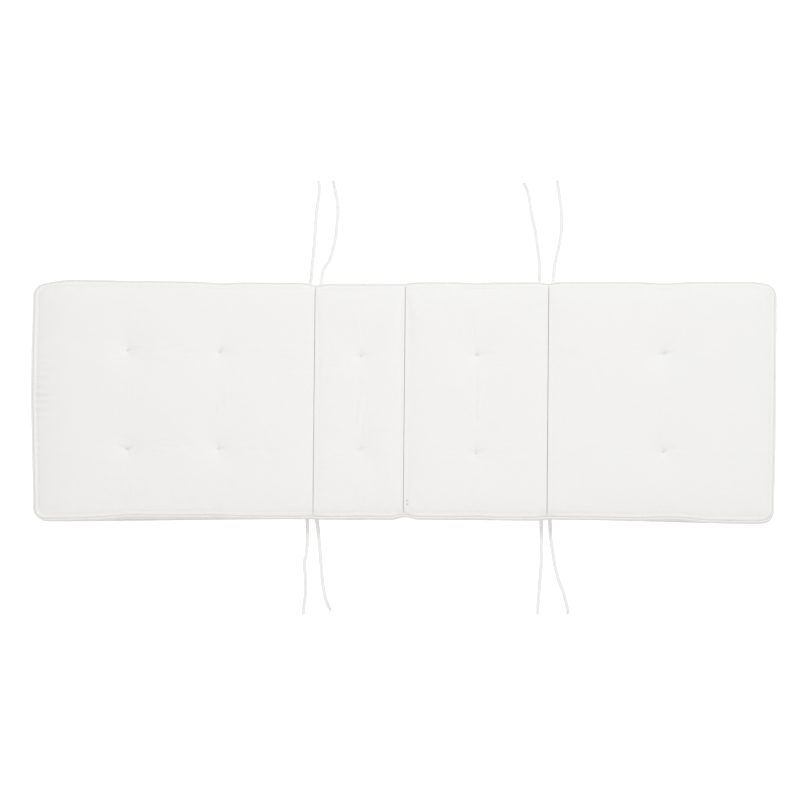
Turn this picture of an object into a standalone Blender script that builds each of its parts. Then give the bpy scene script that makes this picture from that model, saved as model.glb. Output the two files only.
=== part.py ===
# Folding sun lounger cushion: four filled sections in one boxed and piped cover, sewn across at three
# folds and tufted at ten places, with eight tie tapes. It lies flat on its back.
# Metres, +Z up, +X along its length, +Y to its far side. The origin is under its middle.

import math
from collections import namedtuple

import bmesh
import bpy
from mathutils import Vector

# Sizes over the piping, and the heights of the two seams above the surface
LENGTH = 1.500
WIDTH = 0.4885
TOP_SEAM = 0.042
BOTTOM_SEAM = 0.0046
SEAM_CORNER = 0.026

# How the filling rounds the panels off from seam, fold and tuft
TOP_RISE = 0.011
TOP_SHOULDER = 0.042
BOTTOM_SHOULDER = 0.014
FOLD_SHOULDER = 0.026
FOLD_FADE = 0.016
BOTTOM_FOLD_SHOULDER = 0.015
BOTTOM_DIP_SHARE = 0.33
TUFT_SPREAD = 0.013
BOTTOM_TUFT_SPREAD = 0.008
BOTTOM_TUFT_SHARE = 0.30
BOTTOM_TUFT_LEAST = 0.06
BAND_BULGE = 0.0036
SLANT = 0.006
END_DRAW = 0.003
END_DRAW_POWER = 12

# Piping cord and tape
PIPING_RADIUS = 0.002
PIPING_OUT = 0.002
PIPING_OFF = 0.0019
TAPE_WIDTH = 0.0076
TAPE_THICK = 0.0014
TAPE_LIFT = 0.0002
TAPE_STEP = 0.012
ROOT_GAP = 0.0003

# The cushion's ends and folds, in order, with how far a fold draws the far and near edges in
Fold = namedtuple("Fold", "x depth bottom_depth dip draw_far draw_near")
FOLDS = (
    Fold(x=-0.178, depth=0.036, bottom_depth=0.011, dip=0.006, draw_far=0.0035, draw_near=0.0010),
    Fold(x=0.003, depth=0.035, bottom_depth=0.011, dip=0.005, draw_far=0.0010, draw_near=0.0050),
    Fold(x=0.290, depth=0.036, bottom_depth=0.011, dip=0.006, draw_far=0.0025, draw_near=0.0015),
)

# Each filled section: its crown over the shoulders, and how far its piping stands in from half the
# width at the left and right ends of its far and near edges
Section = namedtuple("Section", "crown far_left far_right near_left near_right")
SECTIONS = (
    Section(crown=0.0035, far_left=0.0000, far_right=0.0030, near_left=0.0030, near_right=0.0075),
    Section(crown=0.0015, far_left=0.0075, far_right=0.0080, near_left=0.0067, near_right=0.0070),
    Section(crown=0.0025, far_left=0.0035, far_right=0.0045, near_left=0.0067, near_right=0.0050),
    Section(crown=0.0035, far_left=0.0035, far_right=0.0035, near_left=0.0070, near_right=0.0000),
)

# Tufts: where each is, how deep it pulls the top panel, and how far it draws the nearest edge in
Tuft = namedtuple("Tuft", "x y depth draw")
TUFTS = (
    Tuft(x=-0.554, y=0.100, depth=0.015, draw=0.0008),
    Tuft(x=-0.369, y=0.097, depth=0.014, draw=0.0030),
    Tuft(x=-0.552, y=-0.098, depth=0.016, draw=0.0030),
    Tuft(x=-0.370, y=-0.098, depth=0.015, draw=0.0018),
    Tuft(x=-0.084, y=0.089, depth=0.012, draw=0.0012),
    Tuft(x=-0.085, y=-0.099, depth=0.012, draw=0.0003),
    Tuft(x=0.147, y=0.091, depth=0.014, draw=0.0022),
    Tuft(x=0.146, y=-0.106, depth=0.014, draw=0.0008),
    Tuft(x=0.521, y=0.093, depth=0.016, draw=0.0040),
    Tuft(x=0.519, y=-0.103, depth=0.016, draw=0.0026),
)
TUFT_DRAW_REACH = 0.026

# The tapes: where each leaves the band, then the way it lies on the surface to its cut end
Tie = namedtuple("Tie", "name side route")
TIES = (
    Tie("tie_back_far_left", 1, ((-0.189, 0.265), (-0.186, 0.280), (-0.182, 0.318), (-0.179, 0.360),
                                 (-0.176, 0.390), (-0.172, 0.421), (-0.171, 0.439), (-0.174, 0.450))),
    Tie("tie_back_far_right", 1, ((-0.164, 0.261), (-0.158, 0.271), (-0.146, 0.304), (-0.138, 0.332),
                                  (-0.135, 0.361), (-0.133, 0.386), (-0.135, 0.409), (-0.141, 0.437),
                                  (-0.144, 0.450))),
    Tie("tie_back_near_left", -1, ((-0.196, -0.254), (-0.197, -0.287), (-0.199, -0.309),
                                   (-0.202, -0.323), (-0.200, -0.350), (-0.199, -0.380),
                                   (-0.202, -0.408), (-0.204, -0.427))),
    Tie("tie_back_near_right", -1, ((-0.176, -0.254), (-0.172, -0.272), (-0.170, -0.295),
                                    (-0.168, -0.326), (-0.166, -0.354), (-0.163, -0.377),
                                    (-0.157, -0.403), (-0.149, -0.419))),
    Tie("tie_leg_far_left", 1, ((0.272, 0.261), (0.271, 0.279), (0.269, 0.304), (0.264, 0.346),
                                (0.257, 0.381), (0.251, 0.420), (0.242, 0.444))),
    Tie("tie_leg_far_right", 1, ((0.301, 0.261), (0.305, 0.278), (0.311, 0.305), (0.316, 0.342),
                                 (0.316, 0.377), (0.312, 0.408), (0.305, 0.449))),
    Tie("tie_leg_near_left", -1, ((0.275, -0.254), (0.275, -0.287), (0.275, -0.324),
                                  (0.273, -0.352), (0.271, -0.377), (0.269, -0.404),
                                  (0.268, -0.425))),
    Tie("tie_leg_near_right", -1, ((0.292, -0.253), (0.294, -0.273), (0.298, -0.298),
                                   (0.303, -0.331), (0.309, -0.354), (0.319, -0.382),
                                   (0.326, -0.408), (0.329, -0.424))),
)
TAPE_EXIT_HEIGHT = 0.0115
TAPE_BENDS = ((0.002, 0.0114), (0.008, 0.0076))
TAPE_DOWN_OUT = 0.018

# Where the cushion's box is cut across, as steps to each side of an end, a fold or a line of tufts
CORNER_STEPS = (0.35, 0.7, 1.0)
END_STEPS = (0.0035, 0.042)
FOLD_STEPS = (0.0, 0.0018, 0.008, 0.026)
TUFT_STEPS = (0.0, 0.009, 0.025)
WIDEST_STEP = 0.06
TUFT_COLUMNS = (-0.553, -0.3695, -0.0845, 0.1465, 0.520)
TUFT_ROWS = (0.094, -0.101)
PIPING_STRAY = 0.00012
BAND_LEVELS = ((0.12, 0.0016), (0.5, BAND_BULGE), (0.88, 0.0016))

# The sections' ends, and half the length and half the width of the seam's rectangle, inside the piping
SECTION_ENDS = (-LENGTH / 2, *(fold.x for fold in FOLDS), LENGTH / 2)
PIPING_STANDS = PIPING_OUT + PIPING_RADIUS
SEAM_HALF_LENGTH = LENGTH / 2 - PIPING_STANDS
SEAM_HALF_WIDTH = WIDTH / 2 - PIPING_STANDS


def smooth(share):
    """0 to 1 with soft ends."""
    share = min(1.0, max(0.0, share))
    return share * share * (3 - 2 * share)


def shoulder(distance, reach):
    """Rises from 0 at a seam to 1 at its reach, along a quarter of an ellipse."""
    left = 1 - min(distance, reach) / reach
    return math.sqrt(1 - left * left)


def hump(distance, reach):
    """1 at its middle and 0 from its reach on, with soft ends."""
    return 1 - smooth(distance / reach)


def seam_plan(u, v):
    """The rectangle's point (u, v) with its corners rounded, its way out, and its distance in."""
    across = abs(u) - (SEAM_HALF_LENGTH - SEAM_CORNER)
    along = abs(v) - (SEAM_HALF_WIDTH - SEAM_CORNER)
    sign_x, sign_y = math.copysign(1, u), math.copysign(1, v)
    if across <= 0 or along <= 0:
        to_end = SEAM_HALF_LENGTH - abs(u)
        to_side = SEAM_HALF_WIDTH - abs(v)
        way_out = (sign_x, 0.0) if to_end < to_side else (0.0, sign_y)
        return u, v, way_out, min(to_end, to_side)
    a, b = across / SEAM_CORNER, along / SEAM_CORNER
    round_a, round_b = a * math.sqrt(1 - b * b / 2), b * math.sqrt(1 - a * a / 2)
    radius = math.hypot(round_a, round_b)
    x = sign_x * (SEAM_HALF_LENGTH - SEAM_CORNER + round_a * SEAM_CORNER)
    y = sign_y * (SEAM_HALF_WIDTH - SEAM_CORNER + round_b * SEAM_CORNER)
    way_out = (sign_x * round_a / radius, sign_y * round_b / radius)
    return x, y, way_out, (1 - radius) * SEAM_CORNER


def edge_draw(x, side):
    """How far the far (side 1) or near (side -1) edge stands in from half the width at x."""
    knots = []
    for section, start, end in zip(SECTIONS, SECTION_ENDS, SECTION_ENDS[1:]):
        left, right = section.near_left, section.near_right
        if side > 0:
            left, right = section.far_left, section.far_right
        knots += [(start + FOLD_SHOULDER, left), (end - FOLD_SHOULDER, right)]
    drawn = knots[0][1]
    for (start, before), (end, after) in zip(knots, knots[1:]):
        drawn += (after - before) * smooth((x - start) / (end - start))
    for fold in FOLDS:
        fold_draw = fold.draw_far if side > 0 else fold.draw_near
        drawn += fold_draw * hump(abs(x - fold.x), FOLD_SHOULDER)
    return drawn


def tuft_draw(x, side):
    """How far the tufts draw the top seam in at x."""
    return sum(
        tuft.draw * hump(abs(x - tuft.x), TUFT_DRAW_REACH) for tuft in TUFTS if tuft.y * side > 0
    )


def plan(u, v, top_share):
    """Where the rectangle's point (u, v) lies in the cushion's own uneven outline."""
    x, y, way_out, inside = seam_plan(u, v)
    side = 1 if y > 0 else -1
    across = abs(y) / SEAM_HALF_WIDTH
    drawn = edge_draw(x, side) + top_share * tuft_draw(x, side)
    end_share = (abs(x) / SEAM_HALF_LENGTH) ** END_DRAW_POWER
    new_x = x * (1 - END_DRAW / SEAM_HALF_LENGTH * end_share * across * across)
    new_x += SLANT * y * smooth((x - FOLDS[0].x) / LENGTH + 0.5)
    new_y = y - side * drawn * across * across
    return new_x, new_y, way_out, inside


def fold_drop(u, inside, full_depth, dip, reach):
    """How far a fold pulls the panel down at distance u from it: gently at the edge, then sharply."""
    share = smooth(inside / FOLD_FADE)
    gentle = dip * hump(u, FOLD_SHOULDER)
    sharp = full_depth * (1 - shoulder(u, reach))
    return gentle * (1 - share) + sharp * share


def top_height(u, v, x, y, inside):
    """The top panel's height: it rises off its seam, and drops into the folds and tufts."""
    index = sum(u > fold.x for fold in FOLDS)
    start, end = SECTION_ENDS[index], SECTION_ENDS[index + 1]
    middle, half = (start + end) / 2, (end - start) / 2
    crown = SECTIONS[index].crown
    crown *= (1 - ((u - middle) / half) ** 2) * (1 - (v / SEAM_HALF_WIDTH) ** 2)
    height = TOP_SEAM + TOP_RISE * shoulder(inside, TOP_SHOULDER) + crown
    for fold in FOLDS:
        height -= fold_drop(abs(u - fold.x), inside, fold.depth, fold.dip, FOLD_SHOULDER)
    for tuft in TUFTS:
        height -= tuft.depth * math.exp(-math.hypot(x - tuft.x, y - tuft.y) / TUFT_SPREAD)
    return height


def bottom_height(u, x, y, inside):
    """The bottom panel's height: flat on the surface between its seam, folds and tufts."""
    height = BOTTOM_SEAM * (1 - shoulder(inside, BOTTOM_SHOULDER))
    for fold in FOLDS:
        dip = fold.dip * BOTTOM_DIP_SHARE
        height += fold_drop(abs(u - fold.x), inside, fold.bottom_depth, dip, BOTTOM_FOLD_SHOULDER)
    for tuft in TUFTS:
        pull = math.exp(-math.hypot(x - tuft.x, y - tuft.y) / BOTTOM_TUFT_SPREAD)
        height += tuft.depth * BOTTOM_TUFT_SHARE * max(0.0, pull - BOTTOM_TUFT_LEAST)
    return height


def seam_heights(u):
    """The heights of the bottom and top seams, which the folds pull together."""
    low, high = BOTTOM_SEAM, TOP_SEAM
    for fold in FOLDS:
        bend = fold.dip * hump(abs(u - fold.x), FOLD_SHOULDER)
        low += bend * BOTTOM_DIP_SHARE
        high -= bend
    return low, high


def stations(half, features):
    """Places across from -half to half: the corners', the features' own, and even ones in the gaps."""
    corner = [SEAM_CORNER * (1 - step) for step in CORNER_STEPS] + [SEAM_CORNER, *END_STEPS]
    places = {side * (half - inside) for inside in corner for side in (-1, 1)}
    for middle, steps in features:
        places |= {middle + side * step for step in steps for side in (-1, 1)}
    places = sorted(places)
    filled = [places[0]]
    for place in places[1:]:
        gap = place - filled[-1]
        parts = max(1, math.ceil(gap / WIDEST_STEP))
        start = filled[-1]
        filled += [start + gap * part / parts for part in range(1, parts + 1)]
    return filled


def cut_box(cuts):
    """A box primitive cut across at each station along its three axes."""
    mesh = bmesh.new()
    bmesh.ops.create_cube(mesh, size=1)
    for vert in mesh.verts:
        for axis, places in enumerate(cuts):
            vert.co[axis] = places[-1] if vert.co[axis] > 0 else places[0]
    for axis, places in enumerate(cuts):
        way = Vector((0, 0, 0))
        way[axis] = 1
        for place in places[1:-1]:
            everything = mesh.verts[:] + mesh.edges[:] + mesh.faces[:]
            bmesh.ops.bisect_plane(mesh, geom=everything, plane_co=way * place, plane_no=way, dist=1e-6)
    return mesh


def material(name, colour, roughness):
    new = bpy.data.materials.new(name)
    new.use_nodes = True
    shader = new.node_tree.nodes["Principled BSDF"]
    shader.inputs["Base Color"].default_value = (*colour, 1)
    shader.inputs["Roughness"].default_value = roughness
    shader.inputs["Metallic"].default_value = 0
    return new


def add_object(name, data, collection, finish):
    new = bpy.data.objects.new(name, data)
    collection.objects.link(new)
    data.materials.append(finish)
    return new


def ring_stations(across, along):
    """The seam's stations in order, once round from the near left corner."""
    left, right, near, far = across[0], across[-1], along[0], along[-1]
    ring = [(u, near) for u in across[:-1]] + [(right, v) for v in along[:-1]]
    return ring + [(u, far) for u in across[:0:-1]] + [(left, v) for v in along[:0:-1]]


def build_cushion(collection, across, along):
    """The filled cover: a cut box whose points move to the panels and the band between them."""
    levels = [0.0] + [level for level, _ in BAND_LEVELS] + [1.0]
    bulges = dict(BAND_LEVELS)
    mesh = cut_box((across, along, levels))
    for vert in mesh.verts:
        u, v, level = vert.co
        x, y, way_out, inside = plan(u, v, level)
        low, high = seam_heights(u)
        if level > 1 - 1e-6 and inside > 1e-6:
            vert.co = x, y, top_height(u, v, x, y, inside)
        elif level < 1e-6 and inside > 1e-6:
            vert.co = x, y, bottom_height(u, x, y, inside)
        else:
            bulge = next((out for at, out in bulges.items() if abs(at - level) < 1e-4), 0.0)
            vert.co = x + way_out[0] * bulge, y + way_out[1] * bulge, low + (high - low) * level
    flat = [face for face in mesh.faces if all(abs(vert.co.z) < 1e-6 for vert in face.verts)]
    flat_edges = {edge for face in flat for edge in face.edges}
    bmesh.ops.dissolve_limit(
        mesh, angle_limit=0.0001, verts=list({v for f in flat for v in f.verts}), edges=list(flat_edges)
    )
    bmesh.ops.recalc_face_normals(mesh, faces=mesh.faces)
    data = bpy.data.meshes.new("cushion")
    mesh.to_mesh(data)
    mesh.free()
    data.shade_smooth()
    return add_object("cushion", data, collection, material("natural_cover", (0.86, 0.85, 0.83), 0.85))


def off_line(point, start, end):
    """How far a point lies from the straight line between two others."""
    way = (end - start).normalized()
    return ((point - start) - way * (point - start).dot(way)).length


def thinned(points):
    """The closed line's points without those that lie straight between their neighbours."""
    kept = [0]
    for index in range(1, len(points) - 1):
        start, end = points[kept[-1]], points[index + 1]
        skipped = points[kept[-1] + 1 : index + 1]
        if max(off_line(point, start, end) for point in skipped) > PIPING_STRAY:
            kept.append(index)
    return [points[index] for index in kept] + [points[-1]]


def build_piping(name, collection, across, along, finish, top):
    """A closed cord in cloth that follows a seam at a steady distance."""
    points = []
    for u, v in ring_stations(across, along):
        x, y, way_out, _ = plan(u, v, 1 if top else 0)
        low, high = seam_heights(u)
        height = high + PIPING_OFF if top else low - PIPING_OFF
        points.append(Vector((x + way_out[0] * PIPING_OUT, y + way_out[1] * PIPING_OUT, height)))
    points = thinned(points)
    curve = bpy.data.curves.new(name, "CURVE")
    curve.dimensions = "3D"
    curve.bevel_depth = PIPING_RADIUS
    curve.bevel_resolution = 1
    spline = curve.splines.new("POLY")
    spline.points.add(len(points) - 1)
    spline.use_cyclic_u = True
    for point, place in zip(spline.points, points):
        point.co = (*place, 1)
    return add_object(name, curve, collection, finish)


def through(points, step):
    """Points a step apart on a smooth curve through the route's own points."""
    ends = [points[0] * 2 - points[1], *points, points[-1] * 2 - points[-2]]
    curve = []
    for before, start, end, after in zip(ends, ends[1:], ends[2:], ends[3:]):
        count = max(1, round((end - start).length / step))
        for index in range(count):
            t = index / count
            curve.append(
                start
                + (end - before) * (t / 2)
                + (before * 2 - start * 5 + end * 4 - after) * (t * t / 2)
                + (start * 3 - before - end * 3 + after) * (t * t * t / 2)
            )
    return [*curve, points[-1]]


def band_at(x, side, across):
    """The furthest y of the band's faces over a tape's width, at the height where the tapes leave it."""
    low, high = seam_heights(x)
    level = (TAPE_EXIT_HEIGHT + TAPE_THICK / 2 - low) / (high - low)
    (below, out_below), (above, out_above), _ = BAND_LEVELS
    bulge = out_below + (out_above - out_below) * (level - below) / (above - below)
    outline = [plan(u, side * SEAM_HALF_WIDTH, level)[:2] for u in across]
    edges = (x - TAPE_WIDTH / 2, x + TAPE_WIDTH / 2)
    reached = [y for place, y in outline if edges[0] < place < edges[1]]
    for (start, start_y), (end, end_y) in zip(outline, outline[1:]):
        slope = (end_y - start_y) / (end - start)
        reached += [start_y + slope * (edge - start) for edge in edges if start <= edge <= end]
    return side * (max(side * y for y in reached) + bulge)


def tie_route(tie, across):
    """From the band straight out, over the lower piping, down, and along the surface."""
    lying = TAPE_THICK / 2 + TAPE_LIFT
    root_x = tie.route[0][0]
    root_y = band_at(root_x, tie.side, across) + tie.side * ROOT_GAP
    rows = [
        Vector((root_x, root_y + tie.side * out, height))
        for out, height in ((0, TAPE_EXIT_HEIGHT), *TAPE_BENDS, (TAPE_DOWN_OUT, lying))
    ]
    return rows + [Vector((x, y, lying)) for x, y in tie.route[1:]]


def build_tie(tie, collection, across, finish):
    """A flat tape with a cut end, lying loose."""
    curve = bpy.data.curves.new(tie.name, "CURVE")
    curve.dimensions = "3D"
    curve.twist_mode = "Z_UP"
    curve.bevel_depth = TAPE_THICK / 2
    curve.bevel_resolution = 0
    curve.extrude = TAPE_WIDTH / 2 - TAPE_THICK / 2
    curve.use_fill_caps = True
    points = through(tie_route(tie, across), TAPE_STEP)
    lowest = TAPE_THICK / 2 + TAPE_LIFT
    spline = curve.splines.new("POLY")
    spline.points.add(len(points) - 1)
    for point, place in zip(spline.points, points):
        point.co = (place.x, place.y, max(place.z, lowest), 1)
        point.tilt = math.pi / 2
    return add_object(tie.name, curve, collection, finish)


def main():
    for old in list(bpy.data.objects):
        bpy.data.objects.remove(old)
    collection = bpy.data.collections.new("sun_lounger_cushion")
    bpy.context.scene.collection.children.link(collection)

    folds = [(fold.x, FOLD_STEPS) for fold in FOLDS]
    across = stations(SEAM_HALF_LENGTH, folds + [(column, TUFT_STEPS) for column in TUFT_COLUMNS])
    along = stations(SEAM_HALF_WIDTH, [(row, TUFT_STEPS) for row in TUFT_ROWS])
    build_cushion(collection, across, along)
    piping = material("natural_piping", (0.88, 0.87, 0.85), 0.8)
    build_piping("piping_top", collection, across, along, piping, top=True)
    build_piping("piping_bottom", collection, across, along, piping, top=False)
    tape = material("natural_tape", (0.84, 0.83, 0.80), 0.8)
    for tie in TIES:
        build_tie(tie, collection, across, tape)


main()
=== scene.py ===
import math

import bpy
import numpy as np
from mathutils import Matrix, Vector


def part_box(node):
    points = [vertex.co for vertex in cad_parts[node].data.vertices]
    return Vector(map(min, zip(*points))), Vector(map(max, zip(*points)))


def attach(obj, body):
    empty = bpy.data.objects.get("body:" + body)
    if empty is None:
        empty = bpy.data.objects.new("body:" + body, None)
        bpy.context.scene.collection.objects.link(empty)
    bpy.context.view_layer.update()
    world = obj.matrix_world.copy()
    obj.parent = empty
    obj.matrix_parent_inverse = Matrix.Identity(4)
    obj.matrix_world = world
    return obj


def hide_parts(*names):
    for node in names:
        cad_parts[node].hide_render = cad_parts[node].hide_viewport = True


# Folding sun lounger cushion, lying on its back and seen from above. Metres throughout.
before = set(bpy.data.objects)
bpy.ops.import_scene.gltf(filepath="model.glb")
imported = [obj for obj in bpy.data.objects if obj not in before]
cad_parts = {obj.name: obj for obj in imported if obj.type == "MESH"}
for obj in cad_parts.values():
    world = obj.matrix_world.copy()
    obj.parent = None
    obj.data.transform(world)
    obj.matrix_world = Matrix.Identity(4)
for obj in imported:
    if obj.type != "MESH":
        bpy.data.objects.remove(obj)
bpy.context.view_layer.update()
print("frame loaded:", len(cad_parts), "nodes")


# The camera stands almost straight above, a little toward the near side and the right
cameraPlace = {
    "lens": 200.0,
    "sensor": 36.0,
    "distance": 8.933,
    "target": (-0.0085, 0.0048, 0.0),
    "towardNear": 5.0,  # degrees
    "towardRight": 3.5,
}


def addCamera(place):
    data = bpy.data.cameras.new("camera")
    data.lens = place["lens"]
    data.sensor_width = place["sensor"]
    data.clip_end = 60
    camera = bpy.data.objects.new("camera", data)
    bpy.context.scene.collection.objects.link(camera)
    east = math.sin(math.radians(place["towardRight"]))
    south = -math.sin(math.radians(place["towardNear"]))
    away = Vector((east, south, math.sqrt(1 - east * east - south * south)))
    sideways = (Vector((1, 0, 0)) - away * away.x).normalized()
    turn = Matrix((sideways, away.cross(sideways), away)).transposed().to_4x4()
    spot = Vector(place["target"]) + away * place["distance"]
    camera.matrix_world = Matrix.Translation(spot) @ turn
    bpy.context.scene.camera = camera


addCamera(cameraPlace)
print("camera placed")


# Sums that several pieces use

def smooth(share):
    share = np.clip(share, 0, 1)
    return share * share * (3 - 2 * share)


def hump(distance, reach):  # 1 at its middle, 0 from its reach on
    return 1 - smooth(distance / reach)


def bell(distance, width):
    return np.exp(-(distance / width) ** 2)


def softNoise(x, y, cell, seed):  # about -1 to 1, one lump to a cell
    table = np.random.RandomState(seed).uniform(-1, 1, (97, 97))
    column, row = np.floor(x / cell), np.floor(y / cell)
    across, along = smooth(x / cell - column), smooth(y / cell - row)
    column, row = column.astype(int), row.astype(int)
    low = table[column % 97, row % 97] * (1 - across) + table[(column + 1) % 97, row % 97] * across
    high = table[column % 97, (row + 1) % 97] * (1 - across)
    high = high + table[(column + 1) % 97, (row + 1) % 97] * across
    return low * (1 - along) + high * along


def through(points, step):  # a smooth line through the points, a step apart
    points = np.array(points, float)
    ends = np.vstack([points[:1] * 2 - points[1:2], points, points[-1:] * 2 - points[-2:-1]])
    line = []
    for before, start, end, after in zip(ends, ends[1:], ends[2:], ends[3:]):
        count = max(1, round(float(np.linalg.norm(end - start)) / step))
        t = (np.arange(count) / count)[:, None]
        line.append(
            start
            + (end - before) * t / 2
            + (before * 2 - start * 5 + end * 4 - after) * t * t / 2
            + (start * 3 - before - end * 3 + after) * t ** 3 / 2
        )
    return np.vstack([*line, points[-1:]])


def evenly(line, step, closed=False):  # the same line with its points evenly apart
    if closed:
        line = np.vstack([line, line[:1]])
    run = runs(line)
    count = max(2, round(run[-1] / step))
    places = np.linspace(0, run[-1], count + 1)
    if closed:
        places = places[:-1]
    return np.stack([np.interp(places, run, line[:, axis]) for axis in range(line.shape[1])], axis=1)


def unit(rows):
    return rows / np.maximum(np.linalg.norm(rows, axis=-1, keepdims=True), 1e-12)


def runs(line):  # how far along the line each point is
    return np.concatenate([[0], np.cumsum(np.linalg.norm(np.diff(line, axis=0), axis=1))])


def quads(grid):  # the four corners of each cell of a grid of points, numbers or places
    return np.stack([grid[:-1, :-1], grid[1:, :-1], grid[1:, 1:], grid[:-1, 1:]], axis=2).reshape(
        (-1, 4) + grid.shape[2:]
    )


def spread(across, along):  # the cloth places of a grid, from its columns' and its rows'
    return np.stack(np.broadcast_arrays(across[None, :], along[:, None]), axis=2)


def addPiece(name, points, faces, places, finish):  # places are each face corner's place in the cloth
    mesh = bpy.data.meshes.new(name)
    mesh.from_pydata(points.tolist(), [], [list(face) for face in faces])
    mesh.uv_layers.new(name="cloth").uv.foreach_set("vector", np.asarray(places, np.float32).ravel())
    mesh.shade_smooth()
    mesh.materials.append(finish)
    piece = bpy.data.objects.new(name, mesh)
    bpy.context.scene.collection.objects.link(piece)
    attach(piece, "root")
    return piece


# Finishes

class Wire:  # a socket in a material; sums written on it add Math nodes
    def __init__(self, tree, socket=None):
        self.tree = tree
        self.socket = socket

    def node(self, kind, settings, values, out=0):  # settings come first, then socket values or links
        new = self.tree.nodes.new("ShaderNode" + kind)
        for key, value in settings.items():
            setattr(new, key, value)
        for key, value in values.items():
            if isinstance(value, Wire):
                self.tree.links.new(value.socket, new.inputs[key])
            else:
                new.inputs[key].default_value = value
        return Wire(self.tree, new.outputs[out] if len(new.outputs) else None)

    def sum(self, operation, *values):
        return self.node("Math", {"operation": operation}, dict(enumerate(values)))

    def __add__(self, other):
        return self.sum("ADD", self, other)

    def __sub__(self, other):
        return self.sum("SUBTRACT", self, other)

    def __rsub__(self, other):
        return self.sum("SUBTRACT", other, self)

    def __mul__(self, other):
        return self.sum("MULTIPLY", self, other)

    def __abs__(self):
        return self.sum("ABSOLUTE", self)

    __radd__ = __add__
    __rmul__ = __mul__

    def sine(self):
        return self.sum("SINE", self)

    def larger(self, other):
        return self.sum("MAXIMUM", self, other)

    def mix(self, low, high):  # from one colour to the other as this goes from 0 to 1
        values = {0: self, 6: low, 7: high}
        return self.node("Mix", {"data_type": "RGBA", "clamp_factor": True}, values, out=2)


def startFinish(name):
    material = bpy.data.materials.new(name)
    material.use_nodes = True
    material.node_tree.nodes.clear()
    return material, Wire(material.node_tree)


def endFinish(wire, look):  # look is the shader's own sockets
    shader = wire.node("BsdfPrincipled", {}, look)
    wire.node("OutputMaterial", {}, {"Surface": shader})


def clothPlace(wire):  # where a point is in the cut cloth, in metres
    place = wire.node("UVMap", {"uv_map": "cloth"}, {})
    across = wire.node("SeparateXYZ", {}, {0: place}, out=0)
    along = wire.node("SeparateXYZ", {}, {0: place}, out=1)
    return across, along


def speckle(wire, across, along, sizes, detail=2.0, seed=0.0):  # noise with lumps of these sizes
    place = wire.node("CombineXYZ", {}, {0: across * (1 / sizes[0]), 1: along * (1 / sizes[1]), 2: seed})
    return wire.node("TexNoise", {}, {"Vector": place, "Scale": 1.0, "Detail": detail, "Roughness": 0.5})


def plainWeave(across, along, pitch):  # each thread's height where it crosses over, 0 to 1
    warp = (across * (math.pi / pitch)).sine()
    weft = (along * (math.pi / pitch)).sine()
    over = warp * weft
    return (abs(warp) * (0.5 + over * 0.5)).larger(abs(weft) * (0.5 - over * 0.5))


coverLook = {
    "light": (0.930, 0.926, 0.916, 1),
    "deep": (0.850, 0.842, 0.826, 1),
    "warm": (0.915, 0.900, 0.878, 1),
    "warmFrom": 0.42,  # blotches above this are warmer
    "warmGain": 0.56,
    "pitch": 0.00085,
    "stray": 0.0003,  # how far a thread wanders
    "strayCell": 0.004,
    "slub": (0.0012, 0.030),  # a thick place in a thread, across and along it
    "blotch": (0.11, 0.09),
    "weaveTone": 0.55,
    "slubTone": 0.65,
    "weaveHeight": 0.75,
    "slubHeight": 0.6,
    "relief": 0.00022,
    "bump": 0.7,
    "roughness": 0.90,
    "weaveGloss": 0.06,
    "sheen": 0.20,
    "specular": 0.25,
}


def makeCanvas(name, look, bias=False):
    material, wire = startFinish(name)
    across, along = clothPlace(wire)
    if bias:  # the piping's strip is cut at 45 degrees
        across, along = (across + along) * math.sqrt(0.5), (across - along) * math.sqrt(0.5)
    strayCells, (thin, long) = (look["strayCell"], look["strayCell"]), look["slub"]
    stray = (speckle(wire, across, along, strayCells, 1.0, 3.0) - 0.5) * look["stray"]
    weave = plainWeave(across + stray, along + stray, look["pitch"])
    warpSlub = speckle(wire, across, along, (thin, long), 3.0, 7.0)
    weftSlub = speckle(wire, across, along, (long, thin), 3.0, 11.0)
    slub = (warpSlub + weftSlub) * 0.5
    blotch = speckle(wire, across, along, look["blotch"], 3.0, 19.0)
    thread = (weave * look["weaveTone"] + slub * look["slubTone"]).mix(look["deep"], look["light"])
    colour = ((blotch - look["warmFrom"]) * look["warmGain"]).mix(thread, look["warm"])
    height = weave * look["weaveHeight"] + slub * look["slubHeight"]
    normal = wire.node("Bump", {}, {"Strength": look["bump"], "Distance": look["relief"], "Height": height})
    endFinish(wire, {
        "Base Color": colour, "Roughness": look["roughness"] - look["weaveGloss"] * weave, "Normal": normal,
        "Sheen Weight": look["sheen"], "Sheen Roughness": 0.5, "Specular IOR Level": look["specular"],
    })
    return material


tapeLook = {
    "light": (0.95, 0.948, 0.942, 1),
    "deep": (0.88, 0.875, 0.865, 1),
    "rib": 0.0007,
    "selvedge": 0.0030,  # from the middle
    "fleck": (0.0010, 0.012),
    "ribTone": 0.5,
    "fleckTone": 0.75,
    "fleckHeight": 0.5,
    "relief": 0.0002,
    "bump": 0.7,
    "roughness": 0.85,
    "ribGloss": 0.05,
    "sheen": 0.15,
    "specular": 0.3,
}


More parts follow.
